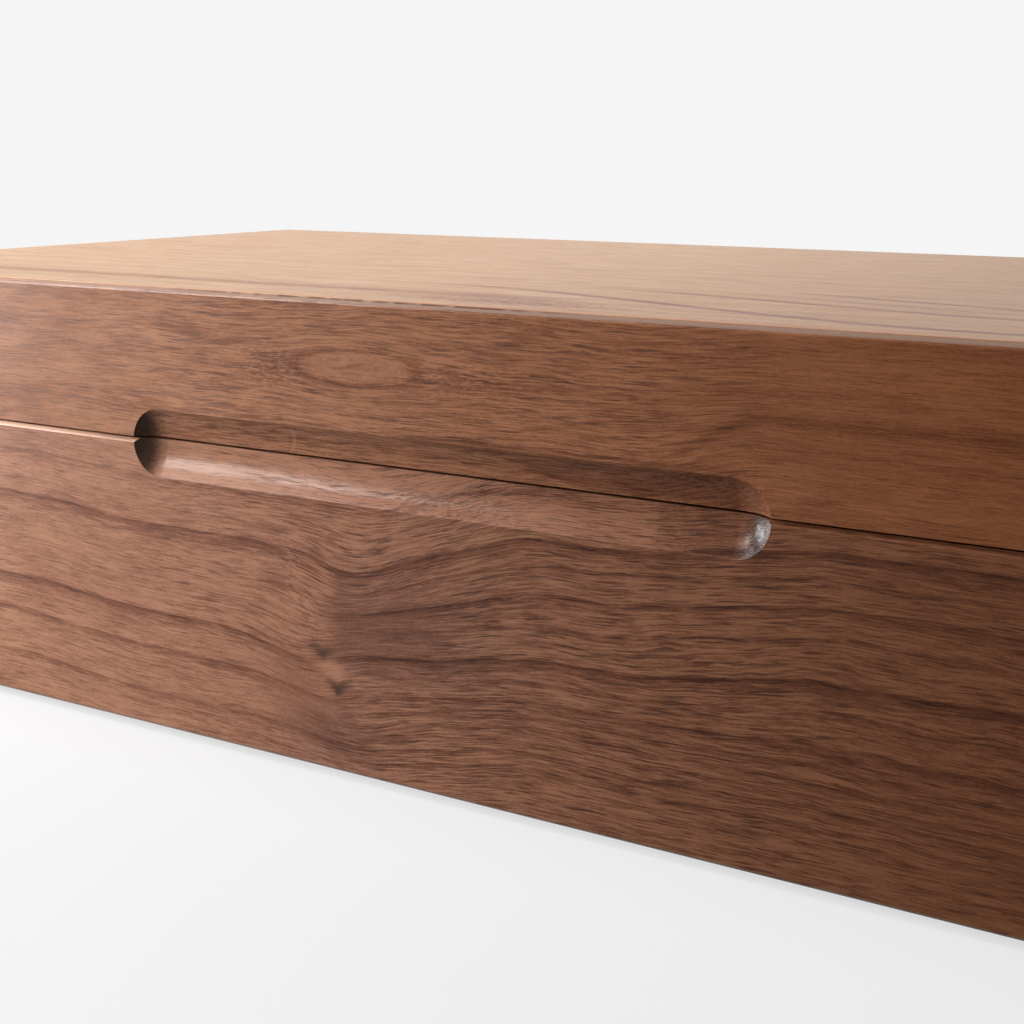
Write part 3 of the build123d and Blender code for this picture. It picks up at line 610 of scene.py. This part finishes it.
def brushed_metal(name, axes, colour, roughness):
    """Metal with fine scratches along the first of axes, and faint darker stains."""
    s = Shader(name)
    u, v, w = s.axes(axes)
    lines = s.noise(u / 6.0, v / 0.12, w / 0.12, detail=3.0, roughness=0.7)
    stain = s.noise(u / 5.0, v / 5.0, w / 5.0, detail=3.0)
    tone = s.ramp(stain * 0.6 + lines * 0.4, [(0.35, colour), (0.75, scaled(colour, 0.8))])
    rough = roughness + (lines - 0.5) * 0.3 + (stain - 0.5) * 0.1
    return s.finish(tone, rough, lines, 0.02, Metallic=1.0)


def rubber(name):
    """Black rubber, finely grained and a little dusty."""
    s = Shader(name)
    x, y, z = s.axes()
    grain = s.noise(x / 0.4, y / 0.4, z / 0.4, detail=3.0, roughness=0.7)
    dust = s.noise(x / 4.0, y / 4.0, z / 2.0, detail=3.0)
    colour = s.ramp(dust, [(0.3, srgb(34, 33, 33)), (0.75, srgb(62, 60, 58))])
    return s.finish(colour, 0.72 + (grain - 0.5) * 0.2, grain, 0.06)


# Pieces

def add_piece(name, mesh, body, material, nodes):
    """Puts a mesh in the scene on one CAD body, in place of the CAD nodes that it stands for."""
    piece = bpy.data.objects.new(name, mesh)
    SCENE.collection.objects.link(piece)
    paint(piece, material)
    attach(piece, body)
    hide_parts(*nodes)
    return piece


def body_of(node):
    """The body that a CAD node belongs to."""
    return NODES[node]["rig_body"]


def to_mesh(made, name):
    """Closes a bmesh and gives its mesh."""
    mesh = bpy.data.meshes.new(name)
    made.to_mesh(mesh)
    made.free()
    return mesh


# Two points of a CAD mesh closer than this are one point.
SAME_POINT = 2e-6
# The angles between two faces, in degrees: below FLAT_ANGLE they are one face, above SHARP_ANGLE their edge
# gets rounded, and above CREASE_ANGLE the rounded board isn't shaded smoothly across it.
FLAT_ANGLE = 1.0
SHARP_ANGLE = 40.0
CREASE_ANGLE = 50.0


def eased(node, material, width, steps=3):
    """A copy of a CAD board with its sharp edges rounded, that stands in the board's place."""
    made = bmesh.new()
    made.from_mesh(NODES[node].data)
    bmesh.ops.remove_doubles(made, verts=made.verts, dist=SAME_POINT)
    bmesh.ops.dissolve_limit(made, angle_limit=radians(FLAT_ANGLE), verts=made.verts, edges=made.edges)
    sharp = [e for e in made.edges if len(e.link_faces) == 2 and e.calc_face_angle() > radians(SHARP_ANGLE)]
    bmesh.ops.bevel(made, geom=sharp, offset=width, offset_type="OFFSET", segments=steps, profile=0.5,
                    affect="EDGES", clamp_overlap=True)
    mesh = to_mesh(made, node + "_eased")
    mesh.shade_smooth()
    mesh.set_sharp_from_angle(angle=radians(CREASE_ANGLE))
    piece = add_piece(node + "_eased", mesh, body_of(node), material, [node])
    piece.modifiers.new("flat_faces", "WEIGHTED_NORMAL").keep_sharp = True


# How fine a lining's mesh is, how many steps its rounded edge has, and over how many times its own height its
# padding rises. WALL_LINING is how thick the boards of the lined walls are.
SLAB_CELL = 0.004
EDGE_STEPS = 4
CROWN_RISE = 14.0
WALL_LINING = 0.0012


def wrapped_panel(name, node, boxes, material, radius, crown=0.0):
    """Lining boards wrapped in cloth: a closed, rounded slab for each box, crowned where it is padded."""
    made = bmesh.new()
    for low, high in boxes:
        add_slab(made, low, high, radius, crown)
    mesh = to_mesh(made, name)
    mesh.shade_smooth()
    return add_piece(name, mesh, body_of(node), material, [node])


def slab_lines(size, radius):
    """Places along one side of a slab: close together over its rounded edges, and even between them."""
    count = max(6, int(size / SLAB_CELL))
    edge = [radius * (1 - cos(pi / 2 * k / EDGE_STEPS)) for k in range(EDGE_STEPS + 1)]
    flat = size - 2 * radius
    inner = [radius + flat * k / count for k in range(1, count)]
    return edge + inner + [size - e for e in reversed(edge)]


def edge_fall(near, radius):
    """How far a rounded edge has fallen away at a point near to it."""
    if near >= radius:
        return 0.0
    return (1 - sqrt(max(0.0, 1 - (1 - near / radius) ** 2))) * radius


def crown_lift(margins, swell):
    """How far padding lifts a point, from its distances to the edges."""
    share = 1.0
    for near in margins:
        share *= min(1.0, near / (CROWN_RISE * swell)) ** 0.5
    return swell * share


def add_slab(made, low, high, radius, crown):
    """A box with rounded edges. Its broad face towards the inside of the compartment swells by crown.

    For a lying slab that face is the upper one, or the lower one where crown is negative.
    """
    low, high = Vector(low), Vector(high)
    size = high - low
    thin = min(range(3), key=lambda i: size[i])
    wide = [i for i in range(3) if i != thin]
    centre = (low[thin] + high[thin]) / 2
    if thin == 2:
        inward = 1.0 if crown >= 0 else -1.0
    else:
        inward = -1.0 if centre > 0 else 1.0
    swell = abs(crown)
    radius = min(radius, size[thin] * 0.49)
    half = size[thin] / 2
    lines = [slab_lines(size[axis], radius) for axis in wide]
    grids = []
    for side in (1.0, -1.0):
        grid = []
        for a in lines[0]:
            row = []
            for b in lines[1]:
                margins = [min(place, size[axis] - place) for place, axis in ((a, wide[0]), (b, wide[1]))]
                fall = sum(edge_fall(near, radius) for near in margins)
                lift = crown_lift(margins, swell) if side == 1.0 and swell else 0.0
                point = Vector((0.0, 0.0, 0.0))
                point[wide[0]] = low[wide[0]] + a
                point[wide[1]] = low[wide[1]] + b
                point[thin] = centre + inward * side * (half - min(fall, half) + lift)
                row.append(made.verts.new(point))
            grid.append(row)
        grids.append(grid)
    rows, columns = len(lines[0]), len(lines[1])
    for grid in grids:
        for i in range(rows - 1):
            for j in range(columns - 1):
                made.faces.new((grid[i][j], grid[i + 1][j], grid[i + 1][j + 1], grid[i][j + 1]))
    rim = [(i, 0) for i in range(rows)] + [(rows - 1, j) for j in range(1, columns)]
    rim += [(i, columns - 1) for i in range(rows - 2, -1, -1)] + [(0, j) for j in range(columns - 2, 0, -1)]
    for (i, j), (k, m) in zip(rim, rim[1:] + rim[:1]):
        made.faces.new((grids[0][i][j], grids[0][k][m], grids[1][k][m], grids[1][i][j]))
    bmesh.ops.recalc_face_normals(made, faces=made.faces)


def board_box(node):
    """The one board of a lining that covers a floor or a roof, as the CAD has it."""
    return [tuple(map(tuple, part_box(node)))]


def wall_boxes(node):
    """The four boards of a lining that runs round a compartment, as the CAD has them."""
    (x0, y0, z0), (x1, y1, z1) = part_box(node)
    t = WALL_LINING
    return [
        ((x0, y0, z0), (x1, y0 + t, z1)),
        ((x0, y1 - t, z0), (x1, y1, z1)),
        ((x0, y0 + t, z0), (x0 + t, y1 - t, z1)),
        ((x1 - t, y0 + t, z0), (x1, y1 - t, z1)),
    ]


# Cushions

# The size of the cloth's mesh, how far cloth can move from the CAD form, and the width held at a seam.
CUSHION_VOXEL = 0.0022
CUSHION_REACH = 0.0018
SEAM_WIDTH = 0.0016
# Points along a seam, and the gathers in the cloth beside it: their number, depth and reach.
SEAM_POINTS = 160
PUCKERS = 44
PUCKER_DEPTH = 0.00060
PUCKER_REACH = 0.0065
# Soft lumps and small creases everywhere, the dip at a seam with its reach, and the height below which the
# cloth lies nearly flat on its floor.
LUMP_DEPTH = 0.0008
CREASE_DEPTH = 0.00022
SEAM_DIP = 0.0012
SEAM_DIP_REACH = 0.0022
RESTING_HEIGHT = 0.0008
BLOWING_FRAMES = 20
CUSHION_KINDS = 3
# Which form each of the twelve cushions has. The second three are the first three turned round.
CUSHION_FORMS = (0, 4, 2, 3, 1, 5, 4, 2, 3, 5, 0, 1)


def cushion_outline(mesh):
    """The oval edge of the CAD cushion's right-hand end, in order."""
    points = [v.co.copy() for v in mesh.vertices]
    end = max(p.x for p in points)
    edge = {(round(p.y, 6), round(p.z, 6)): p for p in points if p.x > end - 1e-5}
    middle = sum(edge.values(), Vector()) / len(edge)
    return sorted(edge.values(), key=lambda p: np.arctan2(p.z - middle.z, p.y - middle.y))


def ring(points, count):
    """count points at equal distances along a closed line."""
    closed = points + points[:1]
    lengths = [0.0]
    for a, b in zip(closed, closed[1:]):
        lengths.append(lengths[-1] + (b - a).length)
    wanted = [lengths[-1] * i / count for i in range(count)]
    axes = [[p[k] for p in closed] for k in range(3)]
    return [Vector([float(np.interp(t, lengths, axis)) for axis in axes]) for t in wanted]


def evaluated_copy(piece):
    """The mesh that a piece has with its modifiers."""
    graph = bpy.context.evaluated_depsgraph_get()
    return bpy.data.meshes.new_from_object(piece.evaluated_get(graph), depsgraph=graph)


def stuffed_cushion(seed):
    """One cushion about its own middle, blown up from the CAD form and drawn in at its two end seams."""
    low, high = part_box("watch_cushion_1")
    mesh = NODES["watch_cushion_1"].data.copy()
    mesh.transform(Matrix.Translation(-(low + high) / 2))
    seam = ring(cushion_outline(mesh), SEAM_POINTS)
    seams = seam + [Vector((-p.x, p.y, p.z)) for p in seam]
    tree = kdtree.KDTree(len(seams))
    for i, point in enumerate(seams):
        tree.insert(point, i)
    tree.balance()
    piece = bpy.data.objects.new("cushion_pattern", mesh)
    SCENE.collection.objects.link(piece)
    remesh = piece.modifiers.new("remesh", "REMESH")
    remesh.mode = "VOXEL"
    remesh.voxel_size = CUSHION_VOXEL
    bpy.context.view_layer.update()
    start = evaluated_copy(piece)
    piece.modifiers.clear()
    piece.data = start
    rest = [v.co.copy() for v in start.vertices]
    blow_up(piece, tree, seed)
    shape_cushion(piece.data, rest, tree, seed, (high - low) / 2)
    soften = piece.modifiers.new("soften", "SMOOTH")
    soften.factor, soften.iterations = 0.5, 3
    smooth = piece.modifiers.new("smooth", "SUBSURF")
    smooth.levels = smooth.render_levels = 1
    bpy.context.view_layer.update()
    done = evaluated_copy(piece)
    bpy.data.objects.remove(piece)
    made = bmesh.new()
    made.from_mesh(done)
    for face in made.faces:
        face.material_index = 0
    for side in (1.0, -1.0):
        add_piping(made, [Vector((p.x * side, p.y, p.z)) for p in seam], side)
    mesh = to_mesh(made, f"stuffed_cushion_{seed}")
    mesh.shade_smooth()
    return mesh


def blow_up(piece, tree, seed):
    """Cloth under pressure, held at the seams."""
    held = piece.vertex_groups.new(name="seams")
    for vertex in piece.data.vertices:
        distance = tree.find(vertex.co)[2]
        if distance < SEAM_WIDTH:
            held.add([vertex.index], 1.0, "REPLACE")
    cloth = piece.modifiers.new("cloth", "CLOTH")
    cloth.settings.vertex_group_mass = "seams"
    cloth.settings.use_pressure = True
    cloth.settings.uniform_pressure_force = 4.0 + seed
    cloth.settings.shrink_min = -0.04
    cloth.settings.effector_weights.gravity = 0.0
    cloth.settings.quality = 6
    cloth.point_cache.frame_start, cloth.point_cache.frame_end = 1, BLOWING_FRAMES
    for number in range(1, BLOWING_FRAMES + 1):
        SCENE.frame_set(number)
    blown = evaluated_copy(piece)
    piece.modifiers.clear()
    piece.data = blown
    SCENE.frame_set(1)


def shape_cushion(mesh, rest, tree, seed, half):
    """Caps how far points have moved, gathers the cloth at the seams and flattens the cushion's underside."""
    for vertex, start in zip(mesh.vertices, rest):
        move = vertex.co - start
        if move.length > CUSHION_REACH:
            move *= CUSHION_REACH / move.length
        point = start + move
        index, distance = tree.find(start)[1:]
        outward = (point - Vector((point.x * 0.7, 0.0, 0.0))).normalized()
        turn = 2 * pi * PUCKERS * (index % SEAM_POINTS) / SEAM_POINTS
        uneven = noise.noise(start * 60.0 + Vector((seed * 9.0, 0.0, 0.0)))
        pucker = PUCKER_DEPTH * cos(turn + 3.0 * uneven) * np.exp(-((distance / PUCKER_REACH) ** 2))
        soft = LUMP_DEPTH * noise.noise(start * 34.0 + Vector((0.0, seed * 7.0, 0.0)))
        soft += CREASE_DEPTH * noise.noise(start * 110.0 + Vector((seed * 5.0, 0.0, 0.0)))
        sink = -SEAM_DIP * np.exp(-((distance / SEAM_DIP_REACH) ** 2))
        point += outward * (pucker + soft + sink)
        floor = -half.z
        if point.z < floor + RESTING_HEIGHT:
            point.z = floor + max(0.0, point.z - floor) * 0.3
        vertex.co = point


def add_piping(made, points, side, radius=0.00075, around=8):
    """A thin corded edge along an end seam. It takes the mesh's second material."""
    rings = []
    count = len(points)
    for i, point in enumerate(points):
        along = (points[(i + 1) % count] - points[i - 1]).normalized()
        across = Vector((side, 0.0, 0.0))
        out = across.cross(along).normalized()
        centre = point - across * 0.0004
        twist = 0.06 * radius * cos(i * 2.4)
        rings.append([
            made.verts.new(centre + (across * cos(t) + out * sin(t)) * (radius + twist))
            for t in (2 * pi * k / around for k in range(around))
        ])
    for i in range(count):
        a, b = rings[i], rings[(i + 1) % count]
        for k in range(around):
            m = (k + 1) % around
            made.faces.new((a[k], a[m], b[m], b[k])).material_index = 1


def watch_cushions(cloth, cord):
    """The twelve loose cushions."""
    meshes = [stuffed_cushion(seed) for seed in range(CUSHION_KINDS)]
    for mesh in meshes:
        mesh.materials.append(cloth)
        mesh.materials.append(cord)
    turned = [mesh.copy() for mesh in meshes]
    for mesh in turned:
        mesh.transform(Matrix.Rotation(pi, 4, "Z"))
    meshes = meshes + turned
    for number, form in enumerate(CUSHION_FORMS, 1):
        node = f"watch_cushion_{number}"
        low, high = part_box(node)
        piece = bpy.data.objects.new(node + "_stuffed", meshes[form])
        SCENE.collection.objects.link(piece)
        piece.location = (low + high) / 2
        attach(piece, body_of(node))
        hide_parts(node)


# A felt dot's outline from the middle of one face round its rim to the middle of the other, as shares of its
# radius and of its thickness.
DOT_PROFILE = ((0.0, 0.5), (0.55, 0.5), (0.86, 0.5), (0.96, 0.38), (1.0, 0.0), (0.96, -0.38), (0.86, -0.5),
               (0.0, -0.5))


def felt_dots(material):
    """Each pair of felt dots, left and right, as two discs with a soft, fuzzy rim."""
    for node, axis in (("lid_bumpers", 2), ("drawer_bumpers", 1)):
        low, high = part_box(node)
        size = high - low
        radius = size[3 - axis] / 2
        made = bmesh.new()
        for x in (low.x + radius, high.x - radius):
            middle = (low + high) / 2
            middle.x = x
            add_disc(made, middle, axis, radius, size[axis])
        mesh = to_mesh(made, node + "_felt")
        mesh.shade_smooth()
        add_piece(node + "_felt", mesh, body_of(node), material, [node])


def add_disc(made, middle, axis, radius, thick, turns=48):
    """A thin disc across axis, which is y or z, with a rounded, slightly ragged rim."""
    loops = []
    for share, level in DOT_PROFILE:
        loop = []
        for k in range(turns if share else 1):
            turn = 2 * pi * k / turns
            ragged = 1.0 + 0.02 * noise.noise(Vector((cos(turn) * 4, sin(turn) * 4, level)))
            point = middle.copy()
            point.x += radius * share * min(1.0, ragged) * cos(turn)
            point[3 - axis] += radius * share * min(1.0, ragged) * sin(turn)
            point[axis] += thick * level
            loop.append(made.verts.new(point))
        loops.append(loop)
    for a, b in zip(loops, loops[1:]):
        for k in range(turns):
            m = (k + 1) % turns
            if len(a) == 1:
                made.faces.new((a[0], b[k], b[m]))
            elif len(b) == 1:
                made.faces.new((a[k], b[0], a[m]))
            else:
                made.faces.new((a[k], b[k], b[m], a[m]))
    bmesh.ops.recalc_face_normals(made, faces=made.faces)


# How far each kind of edge is rounded.
BOARD_EDGE = 0.0005
DIVIDER_EDGE = 0.0011
FOOT_EDGE = 0.0004
FLOOR_LINING_EDGE = 0.0004
WALL_LINING_EDGE = 0.0006
PAD_EDGE = 0.0007
PAD_CROWN = -0.0020

MAPLE = (srgb(222, 190, 148), srgb(186, 146, 102))
PLYWOOD = (srgb(206, 170, 128), srgb(160, 118, 80))


def inside_pieces():
    """Everything but the walnut: the drawer's box, dividers, linings, cushions, fittings and feet."""
    maple_x = pale_wood("maple_long", FACE, 1.0, *MAPLE, 5.0)
    maple_y = pale_wood("maple_side", END, 2.0, *MAPLE, 5.0)
    ply = pale_wood("plywood_panel", FLAT, 3.0, *PLYWOOD, 11.0, 0.6)
    lining = suede("lining_suede_cloth", (0.16, 0.15, 0.145, 1.0))
    cushion = suede("cushion_suede_cloth", (0.20, 0.185, 0.175, 1.0))
    cord = suede("cushion_piping_cloth", (0.11, 0.102, 0.096, 1.0))
    dots = felt("dark_felt", (0.12, 0.10, 0.09, 1.0))
    brass = brushed_metal("brushed_brass", FLAT, srgb(212, 188, 143), 0.36)
    steel = brushed_metal("zinc_steel", FLAT, srgb(196, 197, 200), 0.32)
    pads = rubber("black_rubber")

    for node in ("drawer_subfront", "drawer_back"):
        eased(node, maple_x, BOARD_EDGE)
    for node in ("drawer_side_left", "drawer_side_right", "runner_left", "runner_right"):
        eased(node, maple_y, BOARD_EDGE)
    paint(NODES["drawer_stop_pegs"], maple_x)
    for node in ("bottom_panel", "tray_floor", "drawer_bottom"):
        paint(NODES[node], ply)
    for node in ("row_divider_1", *(f"cross_divider_{i}" for i in range(1, 6)), "drawer_divider_1",
                 "drawer_divider_2"):
        eased(node, lining, DIVIDER_EDGE, 4)

    wrapped_panel("floor_lining_cloth", "floor_lining", board_box("floor_lining"), lining, FLOOR_LINING_EDGE)
    wrapped_panel("wall_lining_cloth", "wall_lining", wall_boxes("wall_lining"), lining, WALL_LINING_EDGE)
    pad = wrapped_panel("lid_top_lining_pad", "lid_top_lining", board_box("lid_top_lining"), lining, PAD_EDGE,
                        PAD_CROWN)
    wrapped_panel("lid_wall_lining_cloth", "lid_wall_lining", wall_boxes("lid_wall_lining"), lining,
                  WALL_LINING_EDGE)
    wrapped_panel("drawer_floor_lining_cloth", "drawer_floor_lining", board_box("drawer_floor_lining"),
                  lining, FLOOR_LINING_EDGE)
    wrapped_panel("drawer_wall_lining_cloth", "drawer_wall_lining", wall_boxes("drawer_wall_lining"), lining,
                  WALL_LINING_EDGE)
    watch_cushions(cushion, cord)
    felt_dots(dots)
    for node in NODES:
        if node.startswith("hinge_") and node.endswith(("leaf", "pin", "screws")):
            paint(NODES[node], brass)
    paint(NODES["runner_screws"], steel)
    paint(NODES["drawer_front_screws"], steel)
    eased("foot_pads", pads, FOOT_EDGE)


# Studio

def area_lamp(name, place, target, width, height, power):
    """A rectangular white lamp at place that faces target."""
    lamp = bpy.data.lights.new(name, "AREA")
    lamp.shape = "RECTANGLE"
    lamp.size, lamp.size_y = width, height
    lamp.energy = power
    holder = bpy.data.objects.new(name, lamp)
    SCENE.collection.objects.link(holder)
    holder.location = place
    holder.rotation_euler = (Vector(target) - Vector(place)).to_track_quat("-Z", "Y").to_euler()
    return holder


def flag_off(lamp, pieces):
    """Keeps one lamp's light off some pieces, as a studio flag does."""
    shaded = bpy.data.collections.new(lamp.name + "_flag")
    for piece in pieces:
        shaded.objects.link(piece)
    for member in shaded.collection_objects:
        member.light_linking.link_state = "EXCLUDE"
    lamp.light_linking.receiver_collection = shaded


def seen_directly(tree):
    """1 for rays from the camera, and for those that a glossy or clear surface sends on."""
    path = tree.nodes.new("ShaderNodeLightPath")
    total = path.outputs["Is Camera Ray"]
    for name in ("Is Glossy Ray", "Is Transmission Ray"):
        add = tree.nodes.new("ShaderNodeMath")
        add.operation = "MAXIMUM"
        tree.links.new(total, add.inputs[0])
        tree.links.new(path.outputs[name], add.inputs[1])
        total = add.outputs[0]
    return total


# The brightness of the background where it is seen, and that of the light it gives.
BACKDROP = srgb(245, 245, 245)[0]
WORLD_LIGHT = 0.15

# The floor's radius, and how far it lies below the feet so that the two don't share a plane.
FLOOR_RADIUS = 6.0
FLOOR_DROP = 0.0002
# How much light the floor sends back to the box, how white it is where it is seen, and between which two
# distances, in millimetres, it goes over into the background.
FLOOR_BOUNCE = 0.10
FLOOR_SEEN = 0.605
FLOOR_FADE = (350.0, 1100.0)


def make_world():
    """A white background that shows evenly and gives only a little light."""
    world = bpy.data.worlds.new("studio")
    SCENE.world = world
    world.use_nodes = True
    tree = world.node_tree
    background = tree.nodes["Background"]
    background.inputs["Color"].default_value = (1.0, 1.0, 1.0, 1.0)
    strength = tree.nodes.new("ShaderNodeMapRange")
    tree.links.new(seen_directly(tree), strength.inputs["Value"])
    strength.inputs["To Min"].default_value = WORLD_LIGHT
    strength.inputs["To Max"].default_value = BACKDROP
    tree.links.new(strength.outputs[0], background.inputs["Strength"])


def make_floor():
    """A wide white disc that takes shadows near the box and goes over into the background farther away."""
    made = bmesh.new()
    bmesh.ops.create_circle(made, cap_ends=True, segments=96, radius=FLOOR_RADIUS)
    mesh = to_mesh(made, "studio_floor")
    floor = bpy.data.objects.new("studio_floor", mesh)
    SCENE.collection.objects.link(floor)
    s = Shader("studio_floor")
    x, y = s.axes((0, 1))
    away = s.math("SQRT", x * x + y * y)
    seen = Value(s, seen_directly(s.tree))
    matt = s.node("BsdfDiffuse", Color=s.ramp(seen, [(0.0, FLOOR_BOUNCE), (1.0, FLOOR_SEEN)]))
    glow = s.node("Emission", Color=(1.0, 1.0, 1.0, 1.0), Strength=BACKDROP)
    share = s.step(away, *FLOOR_FADE, 0.72, 1.0) * seen
    both = s.node("MixShader", Fac=share)
    s.tree.links.new(matt.outputs[0], both.inputs[1])
    s.tree.links.new(glow.outputs[0], both.inputs[2])
    output = s.node("OutputMaterial")
    s.tree.links.new(both.outputs[0], output.inputs["Surface"])
    mesh.materials.append(s.material)
    floor.location.z = -FLOOR_DROP


def make_camera():
    """The photo's camera, as it was solved from the box's edges."""
    lens = bpy.data.cameras.new("camera")
    lens.sensor_width = 36.0
    lens.lens = 61.03
    lens.clip_start = 0.01
    camera = bpy.data.objects.new("camera", lens)
    SCENE.collection.objects.link(camera)
    camera.location = (0.2007, -0.3705, 0.1333)
    camera.rotation_euler = (radians(77.756), 0.0, radians(33.236))
    SCENE.camera = camera


wood_materials()
inside_pieces()
make_world()
make_floor()
make_camera()
key_lamp = area_lamp("key_softbox", (-0.54, -0.25, 0.10), (-0.05, -0.10, 0.05), 0.22, 0.18, 4.9)
lit_by_key = [NODES["drawer_front"], NODES["lid_front"], NODES["lid_top"], SCENE.objects["studio_floor"]]
flag_off(key_lamp, [piece for piece in SCENE.objects if piece.type == "MESH" and piece not in lit_by_key])
area_lamp("groove_softbox", (-0.655, -0.643, 0.454), (-0.05, -0.10, 0.06), 0.2, 0.32, 5.6)
area_lamp("high_softbox", (-0.80, -0.20, 0.72), (0.0, 0.0, 0.10), 0.5, 0.5, 12.1)
area_lamp("rear_softbox", (0.75, 0.75, 0.45), (0.0, 0.0, 0.05), 0.9, 0.9, 8.0)
SCENE.view_settings.view_transform = "Standard"

bpy.context.view_layer.update()
